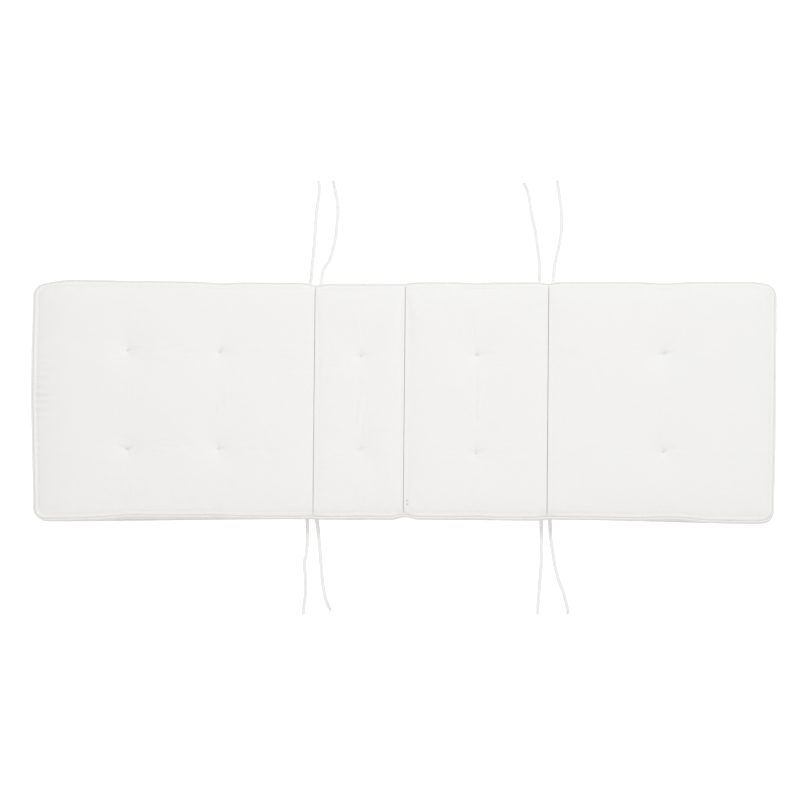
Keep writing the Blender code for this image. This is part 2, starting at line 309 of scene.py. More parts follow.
def makeTape(name, look):
    material, wire = startFinish(name)
    across, along = clothPlace(wire)  # across is along the tape's width
    twill = ((along + across) * (math.pi / look["rib"])).sine()
    slant = ((along - across) * (math.pi / look["rib"])).sine()
    edge = wire.sum("GREATER_THAN", abs(across), look["selvedge"])
    rib = abs(twill) * (1 - edge) + abs(slant) * edge
    fleck = speckle(wire, across, along, look["fleck"], 3.0, 5.0)
    tone = rib * look["ribTone"] + fleck * look["fleckTone"]
    height = rib + fleck * look["fleckHeight"]
    normal = wire.node("Bump", {}, {"Strength": look["bump"], "Distance": look["relief"], "Height": height})
    endFinish(wire, {
        "Base Color": tone.mix(look["deep"], look["light"]), "Normal": normal,
        "Roughness": look["roughness"] - look["ribGloss"] * rib,
        "Sheen Weight": look["sheen"], "Specular IOR Level": look["specular"],
    })
    return material


threadLook = {
    "light": (0.92, 0.915, 0.90, 1),
    "deep": (0.80, 0.79, 0.765, 1),
    "ply": 0.0006,
    "twist": 1.2,
    "fuzz": 0.0008,
    "plyTone": 0.6,
    "fuzzTone": 0.6,
    "relief": 0.0001,
    "bump": 0.6,
    "roughness": 0.6,
    "plyGloss": 0.1,
    "specular": 0.4,
}
tackLook = {**threadLook, "light": (0.74, 0.69, 0.61, 1), "deep": (0.52, 0.46, 0.38, 1)}


def makeThread(name, look):
    material, wire = startFinish(name)
    across, along = clothPlace(wire)
    ply = abs(((along + across * look["twist"]) * (math.pi / look["ply"])).sine())
    fuzz = speckle(wire, across, along, (look["fuzz"], look["fuzz"]), 2.0, 2.0)
    tone = ply * look["plyTone"] + fuzz * look["fuzzTone"]
    normal = wire.node("Bump", {}, {"Strength": look["bump"], "Distance": look["relief"], "Height": ply})
    endFinish(wire, {
        "Base Color": tone.mix(look["deep"], look["light"]), "Normal": normal,
        "Roughness": look["roughness"] - look["plyGloss"] * ply, "Specular IOR Level": look["specular"],
    })
    return material


coverCanvas = makeCanvas("coverCanvas", coverLook)
pipingCanvas = makeCanvas("pipingCanvas", {**coverLook, "pitch": 0.0008}, bias=True)
tapeWeave = makeTape("tapeWeave", tapeLook)
sewingThread = makeThread("sewingThread", threadLook)
tackThread = makeThread("tackThread", tackLook)
print("finishes made")


# The eight tie tapes: out of the band, over the lower piping, down, then loose on the surface to a cut end

ties = {
    "width": 0.0076,
    "thickness": 0.0009,
    "cordThickness": 0.0014,  # the height that the lying route is worked from
    "lift": 0.0002,
    "step": 0.0025,
    "section": ((-1, -0.3), (-0.88, -1), (0.88, -1), (1, -0.3), (1, 0.3), (0.88, 1), (-0.88, 1), (-1, 0.3)),
    "endSwell": 0.35,  # the cut end is sealed a little thicker
    "endSwellReach": 0.002,
    "bends": ((-0.005, 0.0115), (0.001, 0.0115), (0.008, 0.0076)),  # how far out, and how high there
    "downOut": 0.018,
    "rootRollAt": 0.020,
    "rootRollReach": 0.030,
    "tipRollReach": 0.022,
    "unevenRoll": 5,  # degrees
    "unevenRollCell": 0.035,
    "edgeShare": 0.92,  # of half the width, that a rolled tape's lower edge stands out by
    "tapes": {  # side 1 is far; rolls in degrees at the root and the tip
        "tie_back_far_left": {"side": 1, "rootRoll": 22, "tipRoll": -30, "route": (
            (-0.1900, 0.265), (-0.1870, 0.280), (-0.1835, 0.318), (-0.1810, 0.360), (-0.1785, 0.390),
            (-0.1745, 0.421), (-0.1738, 0.439), (-0.1770, 0.450))},
        "tie_back_far_right": {"side": 1, "rootRoll": -18, "tipRoll": 32, "route": (
            (-0.1695, 0.255), (-0.1655, 0.267), (-0.1535, 0.286), (-0.1475, 0.304), (-0.1405, 0.332),
            (-0.1378, 0.361), (-0.1357, 0.386), (-0.1375, 0.409), (-0.1432, 0.437), (-0.1460, 0.450))},
        "tie_back_near_left": {"side": -1, "rootRoll": -20, "tipRoll": 10, "route": (
            (-0.1930, -0.254), (-0.1937, -0.287), (-0.1957, -0.309), (-0.1987, -0.323), (-0.1967, -0.350),
            (-0.1958, -0.380), (-0.1988, -0.408), (-0.2008, -0.427))},
        "tie_back_near_right": {"side": -1, "rootRoll": 22, "tipRoll": -28, "route": (
            (-0.1742, -0.254), (-0.1700, -0.272), (-0.1677, -0.295), (-0.1652, -0.326), (-0.1628, -0.354),
            (-0.1593, -0.377), (-0.1528, -0.403), (-0.1444, -0.419))},
        "tie_leg_far_left": {"side": 1, "rootRoll": 20, "tipRoll": 28, "route": (
            (0.2724, 0.261), (0.2714, 0.279), (0.2686, 0.304), (0.2626, 0.346), (0.2550, 0.381),
            (0.2488, 0.420), (0.2398, 0.444))},
        "tie_leg_far_right": {"side": 1, "rootRoll": -22, "tipRoll": 30, "route": (
            (0.2985, 0.261), (0.3018, 0.278), (0.3083, 0.305), (0.3145, 0.342), (0.3152, 0.377),
            (0.3124, 0.408), (0.3064, 0.449))},
        "tie_leg_near_left": {"side": -1, "rootRoll": -18, "tipRoll": 32, "route": (
            (0.2762, -0.254), (0.2762, -0.287), (0.2762, -0.324), (0.2742, -0.352), (0.2722, -0.377),
            (0.2702, -0.404), (0.2692, -0.425))},
        "tie_leg_near_right": {"side": -1, "rootRoll": 20, "tipRoll": -30, "route": (
            (0.2930, -0.253), (0.2950, -0.273), (0.2990, -0.298), (0.3042, -0.331), (0.3104, -0.354),
            (0.3205, -0.382), (0.3276, -0.408), (0.3306, -0.424))},
    },
}


def tieLine(name, tape):  # the tape's middle, from the band to the cut end
    low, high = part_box(name)
    side, route = tape["side"], tape["route"]
    rootX, rootY = route[0][0], low.y if side > 0 else high.y
    lying = ties["cordThickness"] / 2 + ties["lift"]
    lean = (route[1][0] - rootX) / abs(route[1][1] - rootY)
    bends = (*ties["bends"], (ties["downOut"], lying))
    rows = [(rootX + lean * out, rootY + side * out, height) for out, height in bends]
    rows += [(x, y, lying) for x, y in route[1:]]
    return evenly(through(rows, ties["step"] / 2), ties["step"])


def addTie(name, tape, seed):
    line = tieLine(name, tape)
    run = runs(line)
    left = run[-1] - run
    roll = tape["rootRoll"] * hump(np.abs(run - ties["rootRollAt"]), ties["rootRollReach"])
    roll = roll + tape["tipRoll"] * hump(left, ties["tipRollReach"])
    roll = np.radians(roll + ties["unevenRoll"] * softNoise(run, run * 0, ties["unevenRollCell"], seed))
    way = unit(np.gradient(line, axis=0))
    flat = unit(np.cross(way, (0, 0, 1.0)))
    upright = np.cross(flat, way)
    across = flat * np.cos(roll)[:, None] + upright * np.sin(roll)[:, None]
    normal = np.cross(across, way)
    halfWidth, halfThick = ties["width"] / 2, ties["thickness"] / 2
    swell = 1 + ties["endSwell"] * bell(left, ties["endSwellReach"])
    section = ties["section"]
    lowest = halfThick + ties["lift"] + halfWidth * np.abs(np.sin(roll)) * ties["edgeShare"]
    line[:, 2] = np.maximum(line[:, 2], lowest)
    rings = np.stack([
        line + across * (halfWidth * side) + normal * (halfThick * up * swell)[:, None]
        for side, up in section
    ], axis=1)
    count, sides = rings.shape[:2]
    index = np.arange(count * sides).reshape(count, sides)
    index = np.concatenate([index, index[:, :1]], axis=1)
    widths = np.array([side * halfWidth for side, _ in section] + [-halfWidth])
    place = spread(widths, run)
    faces = [list(face) for face in quads(index)]
    places = [tuple(spot) for face in quads(place) for spot in face]
    for cap in (index[0, :-1][::-1], index[-1, :-1]):
        faces.append(list(cap))
        places += [(0.0, 0.0)] * sides
    piece = addPiece(name + "_tape", rings.reshape(-1, 3), faces, places, tapeWeave)
    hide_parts(name)
    return float(runs(line)[-1])


for seed, (name, tape) in enumerate(ties["tapes"].items()):
    print("tape", name, round(addTie(name, tape, seed), 3), "m")


# The cushion: its sizes, folds, sections and tufts, and then what the needle and the filling do to the cloth

cushion = {
    "length": 1.500,
    "width": 0.4885,
    "pipingStands": 0.004,
    "topSeam": 0.042,
    "bottomSeam": 0.0046,
    "seamCorner": 0.022,
    "topRise": 0.011,
    "topShoulder": 0.042,
    "bottomShoulder": 0.014,
    "foldShoulder": 0.026,
    "foldSharpness": 16.0,
    "foldFade": 0.016,
    "bottomFoldShoulder": 0.015,
    "bottomDipShare": 0.33,
    "tuftSpread": 0.0150,
    "tuftRound": 0.0045,
    "tuftShare": 0.62,  # of each tuft's depth that shows as a pit above its stitches
    "bottomTuftSpread": 0.008,
    "bottomTuftShare": 0.30,
    "bottomTuftLeast": 0.06,
    "bandBulge": 0.0036,
    "slant": 0.006,
    "endDraw": {  # how far the two ends stand in, at these places across
        "y": (-0.2, -0.1, 0.0, 0.1, 0.2),
        "left": (0.0062, 0.0028, -0.0006, -0.0008, 0.0010),
        "right": (0.0074, 0.0054, 0.0047, 0.0044, 0.0042),
        "top": 0.0012,  # more at the upper seam of both ends
    },
    "endDrawPower": 8,
    "corners": (  # where the cover's corners are pulled in from the far or near side
        {"end": -1, "side": 1, "reach": 0.075, "draw": 0.0085},
        {"end": 1, "side": 1, "reach": 0.055, "draw": 0.0055},
        {"end": 1, "side": -1, "reach": 0.040, "draw": 0.0012},
    ),
    "folds": (
        {"x": -0.178, "drawFar": 0.0035, "drawNear": 0.0010},
        {"x": 0.003, "drawFar": 0.0010, "drawNear": 0.0050},
        {"x": 0.290, "drawFar": 0.0025, "drawNear": 0.0015},
    ),
    "foldDepth": 0.020,
    "foldDip": 0.004,
    "bottomFoldDepth": 0.011,
    "sections": (  # crown, then how far the piping stands in at the left and right ends of each edge
        {"crown": 0.0035, "farLeft": -0.0010, "farRight": 0.0056, "nearLeft": 0.0030, "nearRight": 0.0080},
        {"crown": 0.0015, "farLeft": 0.0082, "farRight": 0.0085, "nearLeft": 0.0070, "nearRight": 0.0072},
        {"crown": 0.0025, "farLeft": 0.0050, "farRight": 0.0054, "nearLeft": 0.0075, "nearRight": 0.0060},
        {"crown": 0.0035, "farLeft": 0.0050, "farRight": 0.0052, "nearLeft": 0.0078, "nearRight": 0.0004},
    ),
    "tufts": (  # creases are (degrees from the right, length, depth)
        {"x": -0.554, "y": 0.100, "depth": 0.015,
         "creases": ((88, 0.018, 0.0016), (8, 0.036, 0.0013), (205, 0.020, 0.0010))},
        {"x": -0.369, "y": 0.097, "depth": 0.014,
         "creases": ((80, 0.020, 0.0016), (12, 0.030, 0.0012), (250, 0.018, 0.0009))},
        {"x": -0.552, "y": -0.098, "depth": 0.016,
         "creases": ((158, 0.036, 0.0018), (170, 0.034, 0.0016), (15, 0.030, 0.0013), (262, 0.020, 0.0012))},
        {"x": -0.370, "y": -0.098, "depth": 0.015,
         "creases": ((95, 0.018, 0.0014), (5, 0.034, 0.0013), (270, 0.020, 0.0011))},
        {"x": -0.084, "y": 0.089, "depth": 0.012,
         "creases": ((85, 0.018, 0.0014), (3, 0.030, 0.0012), (185, 0.024, 0.0009))},
        {"x": -0.085, "y": -0.099, "depth": 0.012,
         "creases": ((92, 0.016, 0.0013), (10, 0.030, 0.0012), (230, 0.018, 0.0009))},
        {"x": 0.147, "y": 0.091, "depth": 0.014,
         "creases": ((84, 0.020, 0.0016), (4, 0.038, 0.0014), (190, 0.022, 0.0010))},
        {"x": 0.146, "y": -0.106, "depth": 0.014,
         "creases": ((96, 0.016, 0.0014), (12, 0.034, 0.0013), (255, 0.020, 0.0010))},
        {"x": 0.521, "y": 0.093, "depth": 0.016,
         "creases": ((82, 0.022, 0.0018), (6, 0.040, 0.0015), (200, 0.022, 0.0011))},
        {"x": 0.519, "y": -0.103, "depth": 0.016,
         "creases": ((90, 0.018, 0.0016), (10, 0.036, 0.0014), (258, 0.022, 0.0012))},
    ),
    "arches": (  # where the filling leaves the top seam drawn in
        {"x": -0.548, "side": -1, "reach": 0.080, "draw": 0.0026},
        {"x": -0.470, "side": -1, "reach": 0.230, "draw": 0.0044},
        {"x": -0.372, "side": -1, "reach": 0.035, "draw": 0.0010},
        {"x": -0.085, "side": -1, "reach": 0.040, "draw": 0.0014},
        {"x": 0.146, "side": -1, "reach": 0.050, "draw": 0.0016},
        {"x": 0.540, "side": -1, "reach": 0.080, "draw": 0.0040},
        {"x": -0.555, "side": 1, "reach": 0.050, "draw": 0.0010},
        {"x": -0.369, "side": 1, "reach": 0.050, "draw": 0.0025},
        {"x": 0.147, "side": 1, "reach": 0.050, "draw": 0.0018},
        {"x": 0.521, "side": 1, "reach": 0.060, "draw": 0.0030},
    ),
    "creaseWidth": 0.0030,
    "creaseRidge": 0.45,  # the cloth beside a crease rises by this share of its depth
    "creaseBend": 0.05,
    "seamLineIn": 0.0088,  # the line of stitches that holds the turned edge under the panel
    "seamLineDepth": 0.0004,
    "seamLineWidth": 0.0015,
    "seamDimple": 0.25,  # how much less it shows between its stitches
    "seamDimpleApart": 0.004,
    "edgeLift": 0.0032,  # the cloth comes off the piping's side, so it starts almost level with its top
    "leftSlope": 0.0050,  # the filling thins toward the left end
    "leftSlopeReach": 0.070,
    "leftSlopeFade": 0.012,
    "foldLineOff": 0.0095,
    "foldLineDepth": 0.0004,
    "foldLineWidth": 0.0014,
    "foldHemDrop": 0.0009,  # the strip right of each fold lies a little lower at the fold
    "puckers": {  # short pulls at the left end, at its middle
        "middle": 0.008, "spread": 0.062, "reach": 0.066, "apart": 0.0160, "stray": 0.003, "depth": 0.0021},
    "ticks": {  # shorter ones toward its near corner
        "from": -0.216, "to": -0.070, "reach": 0.016, "apart": 0.0130, "stray": 0.002, "depth": 0.0008},
    "strayCell": 0.02,
    "lumps": ({"cell": 0.045, "height": 0.00035, "seed": 5}, {"cell": 0.017, "height": 0.00018, "seed": 6}),
    "bandCreases": (  # along and up are how fast each runs
        {"along": 1.0, "up": 0.03, "slant": 0.2, "cell": 0.013, "height": 0.0005, "seed": 23},
        {"along": 0.4, "up": 0.04, "slant": 0, "cell": 0.014, "height": 0.0007, "seed": 29},
    ),
    "bandRound": 0.6,
}
halfLength = cushion["length"] / 2 - cushion["pipingStands"]  # of the seam's rectangle, inside the piping
halfWidth = cushion["width"] / 2 - cushion["pipingStands"]
sectionEnds = [-cushion["length"] / 2, *(fold["x"] for fold in cushion["folds"]), cushion["length"] / 2]


def shoulder(distance, reach, sharpness=2.0):  # 0 at a seam, 1 from its reach on
    left = 1 - np.minimum(distance, reach) / reach
    return np.maximum(1 - left ** sharpness, 0) ** (1 / sharpness)


def seamPlan(u, v):  # the rectangle's point with its corners rounded, its way out, and its distance in
    corner = cushion["seamCorner"]
    signX, signY = np.where(u < 0, -1.0, 1.0), np.where(v < 0, -1.0, 1.0)
    a = (np.abs(u) - (halfLength - corner)) / corner
    b = (np.abs(v) - (halfWidth - corner)) / corner
    toEnd, toSide = halfLength - np.abs(u), halfWidth - np.abs(v)
    rounded = (a > 0) & (b > 0)
    a, b = np.clip(a, 0, 1), np.clip(b, 0, 1)
    roundA, roundB = a * np.sqrt(1 - b * b / 2), b * np.sqrt(1 - a * a / 2)
    radius = np.maximum(np.hypot(roundA, roundB), 1e-9)
    x = np.where(rounded, signX * (halfLength - corner + roundA * corner), u)
    y = np.where(rounded, signY * (halfWidth - corner + roundB * corner), v)
    outX = np.where(rounded, signX * roundA / radius, np.where(toEnd < toSide, signX, 0))
    outY = np.where(rounded, signY * roundB / radius, np.where(toEnd < toSide, 0, signY))
    inside = np.where(rounded, (1 - radius) * corner, np.minimum(toEnd, toSide))
    return x, y, outX, outY, np.maximum(inside, 0)


def edgeDraw(x, side):  # how far the far (side 1) or near (side -1) edge stands in
    reach = cushion["foldShoulder"]
    ends = ("farLeft", "farRight") if side > 0 else ("nearLeft", "nearRight")
    knots = []
    for section, start, end in zip(cushion["sections"], sectionEnds, sectionEnds[1:]):
        knots += [(start + reach, section[ends[0]]), (end - reach, section[ends[1]])]
    drawn = knots[0][1]
    for (start, before), (end, after) in zip(knots, knots[1:]):
        drawn = drawn + (after - before) * smooth((x - start) / (end - start))
    for fold in cushion["folds"]:
        drawn = drawn + fold["drawFar" if side > 0 else "drawNear"] * hump(np.abs(x - fold["x"]), reach)
    for corner in cushion["corners"]:
        if corner["side"] == side:
            drawn = drawn + corner["draw"] * hump(np.abs(x - corner["end"] * halfLength), corner["reach"])
    return drawn


def archDraw(x, side):
    return sum(
        arch["draw"] * hump(np.abs(x - arch["x"]), arch["reach"])
        for arch in cushion["arches"] if arch["side"] == side
    )


def plan(u, v, topShare):  # where the rectangle's point lies in the cushion's own uneven outline
    x, y, outX, outY, inside = seamPlan(u, v)
    across = np.abs(y) / halfWidth
    far = edgeDraw(x, 1) + topShare * archDraw(x, 1)
    near = edgeDraw(x, -1) + topShare * archDraw(x, -1)
    drawn = np.where(y > 0, far, -near)
    ends = cushion["endDraw"]
    pulled = np.where(x < 0, np.interp(y, ends["y"], ends["left"]), -np.interp(y, ends["y"], ends["right"]))
    pulled = pulled - np.sign(x) * ends["top"] * topShare
    newX = x + pulled * (np.abs(x) / halfLength) ** cushion["endDrawPower"]
    firstFold = cushion["folds"][0]["x"]
    newX = newX + cushion["slant"] * y * smooth((x - firstFold) / cushion["length"] + 0.5)
    return newX, y - drawn * across * across, outX, outY, inside


def foldDrop(away, inside, depth, dip, reach, sharpness):
    share = smooth(inside / cushion["foldFade"])
    gentle = dip * hump(away, cushion["foldShoulder"])
    return gentle * (1 - share) + depth * (1 - shoulder(away, reach, sharpness)) * share


def creaseDrop(x, y, tuft):  # the cloth's pulled lines from one tuft
    drop = 0
    for angle, length, depth in tuft["creases"]:
        way = math.radians(angle)
        along = (x - tuft["x"]) * math.cos(way) + (y - tuft["y"]) * math.sin(way)
        off = (y - tuft["y"]) * math.cos(way) - (x - tuft["x"]) * math.sin(way)
        off = off - cushion["creaseBend"] * along * np.sin(along / length * 2.2)  # no pull is dead straight
        share = smooth((along + 0.002) / 0.005) * (1 - smooth(along / length)) ** 0.8
        width = cushion["creaseWidth"]
        ridge = cushion["creaseRidge"] * bell(np.abs(off) - width * 2, width * 1.2)
        drop = drop + depth * share * (bell(off, width) - ridge)
    return drop


def needleMarks(u, v, x, y, inside):  # turned edges, puckers and pulls too fine for the filling's own shape
    lineIn, lineWidth, share = cushion["seamLineIn"], cushion["seamLineWidth"], cushion["seamDimple"]
    dimple = 1 - share + share * np.cos((u + v) * (2 * math.pi / cushion["seamDimpleApart"]))
    raised = -cushion["seamLineDepth"] * bell(inside - lineIn, lineWidth) * dimple
    for fold in cushion["folds"]:
        off = u - fold["x"] - cushion["foldLineOff"]
        hem = np.where(u > fold["x"], np.clip(-off / cushion["foldLineOff"], 0, 1), 0)
        sunk = cushion["foldLineDepth"] * bell(off, cushion["foldLineWidth"]) + cushion["foldHemDrop"] * hem
        raised = raised - sunk * smooth((inside - 0.004) / 0.01)
    for tuft in cushion["tufts"]:
        raised = raised - creaseDrop(x, y, tuft)
    puckers, ticks, cell = cushion["puckers"], cushion["ticks"], cushion["strayCell"]
    fromLeft = u + halfLength
    stray = puckers["stray"] * softNoise(u * 0.2, v, cell, 41)
    wave = np.cos((v + stray) * (2 * math.pi / puckers["apart"]))
    fade = smooth(fromLeft / 0.006) * (1 - smooth(fromLeft / puckers["reach"]))
    raised = raised + puckers["depth"] * wave * fade * bell(v - puckers["middle"], puckers["spread"])
    wave = np.cos((v + ticks["stray"] * softNoise(u * 0, v, cell, 43)) * (2 * math.pi / ticks["apart"]))
    fade = (1 - smooth(np.abs(fromLeft - 0.004) / ticks["reach"])) * smooth((v - ticks["from"]) / 0.01)
    fade = fade * smooth((ticks["to"] - v) / 0.01) * smooth(inside / 0.002)
    raised = raised + ticks["depth"] * wave * fade
    lumps = sum(lump["height"] * softNoise(x, y, lump["cell"], lump["seed"]) for lump in cushion["lumps"])
    return raised + lumps * smooth(inside / 0.01)


def topHeight(u, v, x, y, inside):
    index = np.clip(np.searchsorted(sectionEnds, u) - 1, 0, len(cushion["sections"]) - 1)
    start, end = np.array(sectionEnds)[index], np.array(sectionEnds)[index + 1]
    crown = np.array([section["crown"] for section in cushion["sections"]])[index]
    crown = crown * (1 - ((u - (start + end) / 2) / ((end - start) / 2)) ** 2) * (1 - (v / halfWidth) ** 2)
    lift = cushion["edgeLift"]
    height = cushion["topSeam"] + crown + lift
    height = height + (cushion["topRise"] - lift) * shoulder(inside, cushion["topShoulder"])
    slope = cushion["leftSlope"] * (1 - smooth((u + halfLength) / cushion["leftSlopeReach"]))
    height = height - slope * smooth(inside / cushion["leftSlopeFade"])
    shape = cushion["foldDepth"], cushion["foldDip"], cushion["foldShoulder"], cushion["foldSharpness"]
    for fold in cushion["folds"]:
        height = height - foldDrop(np.abs(u - fold["x"]), inside, *shape)
    for tuft in cushion["tufts"]:
        away = np.sqrt((x - tuft["x"]) ** 2 + (y - tuft["y"]) ** 2 + cushion["tuftRound"] ** 2)
        away = away - cushion["tuftRound"]
        height = height - tuft["depth"] * cushion["tuftShare"] * np.exp(-away / cushion["tuftSpread"])
    return height


def bottomHeight(u, x, y, inside):
    height = cushion["bottomSeam"] * (1 - shoulder(inside, cushion["bottomShoulder"]))
    dip = cushion["foldDip"] * cushion["bottomDipShare"]
    shape = cushion["bottomFoldDepth"], dip, cushion["bottomFoldShoulder"], 2.0
    for fold in cushion["folds"]:
        height = height + foldDrop(np.abs(u - fold["x"]), inside, *shape)
    for tuft in cushion["tufts"]:
        pull = np.exp(-np.hypot(x - tuft["x"], y - tuft["y"]) / cushion["bottomTuftSpread"])
        lift = tuft["depth"] * cushion["bottomTuftShare"]
        height = height + lift * np.maximum(0, pull - cushion["bottomTuftLeast"])
    return height


def seamHeights(u):  # the folds pull the two seams together
    low, high = cushion["bottomSeam"], cushion["topSeam"]
    for fold in cushion["folds"]:
        bend = cushion["foldDip"] * hump(np.abs(u - fold["x"]), cushion["foldShoulder"])
        low, high = low + bend * cushion["bottomDipShare"], high - bend
    return low, high


# The filled cover swells between its seams, folds and tufts: the top panel is run as cloth under pressure

swelling = {
    "cell": 0.006,
    "pressure": 4.0,
    "frames": 20,
    "slack": 0.001,
    "cap": 0.0025,
    "calmOver": 0.040,  # swells wider than this belong to the crown, so most of each is left out
    "calmShare": 0.7,
    "foldHold": 0.004,
    "tuftHold": 0.006,
    "edgeFade": 0.006,
    "cloth": {
        "quality": 6, "mass": 0.0002, "air_damping": 2, "tension_stiffness": 8, "compression_stiffness": 8,
        "shear_stiffness": 3, "bending_stiffness": 0.02, "use_pressure": True,
    },
}


def blurred(field, cells):
    for _ in range(3):
        for axis in (0, 1):
            padded = np.concatenate([np.flip(field.take(range(cells), axis), axis), field,
                                     np.flip(field.take(range(-cells, 0), axis), axis)], axis)
            total = np.cumsum(padded, axis)
            wide = 2 * cells
            count = field.shape[axis]
            field = (total.take(range(wide, wide + count), axis) - total.take(range(count), axis)) / wide
    return field


def swellPanel():  # how far each point of an even sheet over the panel moves
    nu = round(2 * halfLength / swelling["cell"]) + 1
    nv = round(2 * halfWidth / swelling["cell"]) + 1
    stationsU, stationsV = np.linspace(-halfLength, halfLength, nu), np.linspace(-halfWidth, halfWidth, nv)
    u, v = np.meshgrid(stationsU, stationsV, indexing="ij")
    x, y, _, _, inside = plan(u, v, 1)
    height = topHeight(u, v, x, y, inside)
    rest = np.stack([x, y, height], axis=2)
    held = inside < 1e-6
    for fold in cushion["folds"]:
        held |= np.abs(u - fold["x"]) < swelling["foldHold"]
    for tuft in cushion["tufts"]:
        held |= np.hypot(x - tuft["x"], y - tuft["y"]) < swelling["tuftHold"]
    mesh = bpy.data.meshes.new("swelling")
    mesh.from_pydata(rest.reshape(-1, 3).tolist(), [], quads(np.arange(nu * nv).reshape(nu, nv)).tolist())
    sheet = bpy.data.objects.new("swelling", mesh)
    bpy.context.scene.collection.objects.link(sheet)
    group = sheet.vertex_groups.new(name="held")
    group.add(np.flatnonzero(held.ravel()).tolist(), 1.0, "REPLACE")
    cloth = sheet.modifiers.new("cloth", "CLOTH")
    settings = cloth.settings
    for key, value in swelling["cloth"].items():
        setattr(settings, key, value)
    settings.uniform_pressure_force = swelling["pressure"]
    settings.shrink_min = -swelling["slack"]
    settings.vertex_group_mass = "held"
    settings.effector_weights.gravity = 0
    cloth.collision_settings.use_collision = False
    scene = bpy.context.scene
    for step in range(1, swelling["frames"] + 1):
        scene.frame_set(step)
    moved = sheet.evaluated_get(bpy.context.evaluated_depsgraph_get()).data
    after = np.zeros(nu * nv * 3, np.float32)
    moved.vertices.foreach_get("co", after)
    bpy.data.objects.remove(sheet)
    scene.frame_set(1)
    move = after.reshape(nu, nv, 3).astype(float) - rest
    for axis in range(3):
        calm = blurred(move[:, :, axis], round(swelling["calmOver"] / swelling["cell"] / 2))
        move[:, :, axis] -= swelling["calmShare"] * calm
    far = np.linalg.norm(move, axis=2, keepdims=True)
    print("cloth moved", np.round(np.percentile(far, (50, 90, 99, 100)) * 1000, 2), "mm")
    move *= swelling["cap"] * np.tanh(far / swelling["cap"]) / np.maximum(far, 1e-9)
    return stationsU, stationsV, move * (~held)[:, :, None]


def between(field, stationsU, stationsV, u, v):  # the sheet's move at any point of the panel
    column = np.clip((u - stationsU[0]) / (stationsU[1] - stationsU[0]), 0, len(stationsU) - 1.001)
    row = np.clip((v - stationsV[0]) / (stationsV[1] - stationsV[0]), 0, len(stationsV) - 1.001)
    i, j = column.astype(int), row.astype(int)
    a, b = smooth(column - i)[..., None], smooth(row - j)[..., None]
    low = field[i, j] * (1 - a) + field[i + 1, j] * a
    return low * (1 - b) + (field[i, j + 1] * (1 - a) + field[i + 1, j + 1] * a) * b


swellU, swellV, swellMove = swellPanel()
print("top panel swelled")


def topPanel(u, v):
    x, y, _, _, inside = plan(u, v, 1)
    height = topHeight(u, v, x, y, inside) + needleMarks(u, v, x, y, inside)
    height = np.where(inside > 1e-7, height, seamHeights(u)[1] + cushion["edgeLift"])
    moved = between(swellMove, swellU, swellV, u, v) * smooth(inside / swelling["edgeFade"])[..., None]
    return np.stack([x, y, height], axis=-1) + moved


def bottomPanel(u, v):
    x, y, _, _, inside = plan(u, v, 0)
    height = np.where(inside > 1e-7, bottomHeight(u, x, y, inside), seamHeights(u)[0])
    return np.stack([x, y, height], axis=-1)


def bandAt(u, v, level, run):  # the band between the seams, at a share of its height
    x, y, outX, outY, _ = plan(u, v, level)
    low, high = seamHeights(u)
    bulge = cushion["bandBulge"] * (1 - (2 * level - 1) ** 2) ** cushion["bandRound"]
    creases = sum(
        softNoise(run * crease["along"], level * crease["up"] + run * crease["slant"], crease["cell"],
                  crease["seed"]) * crease["height"]
        for crease in cushion["bandCreases"]
    )
    bulge = bulge + creases * 4 * level * (1 - level)
    return np.stack([x + outX * bulge, y + outY * bulge, low + (high - low) * level], axis=-1)


coverGrid = {  # how finely the cover is divided; steps are measured from an edge, a fold or a tuft
    "pitch": 0.0064,
    "least": 0.00035,
    "edgeSteps": (0, 0.0012, 0.0026, 0.0042, 0.006, 0.0074, 0.0081, 0.0088, 0.0095, 0.0104, 0.0125, 0.0155,
                  0.019, 0.0225, 0.026),
    "foldSteps": (0, 0.0004, 0.001, 0.002, 0.0036, 0.0058, 0.0078, 0.0095, 0.0112, 0.014),
    "tuftSteps": tuple(np.arange(9) * 0.0025),
    "tuftColumns": (-0.553, -0.3695, -0.0845, 0.1465, 0.520),
    "tuftRows": (0.094, -0.101),
    "puckerSteps": tuple(np.arange(1, 15) * 0.0046),
    "bandLevels": (0.05, 0.14, 0.26, 0.38, 0.5, 0.62, 0.74, 0.86, 0.95),
    "bandJoin": 0.05,
}


def stations(half, features):  # places across, closest together where the shape turns most
    places = {round(side * (half - inside), 6) for inside in coverGrid["edgeSteps"] for side in (-1, 1)}
    for middle, steps in features:
        places |= {round(middle + side * step, 6) for step in steps for side in (-1, 1)}
    places = sorted(places)
    filled = [places[0]]
    for place in places[1:]:
        gap = place - filled[-1]
        if gap < coverGrid["least"] and place != places[-1]:
            continue
        parts = max(1, math.ceil(gap / coverGrid["pitch"] - 0.05))
        filled += list(np.linspace(filled[-1], place, parts + 1)[1:])
    return np.array(filled)


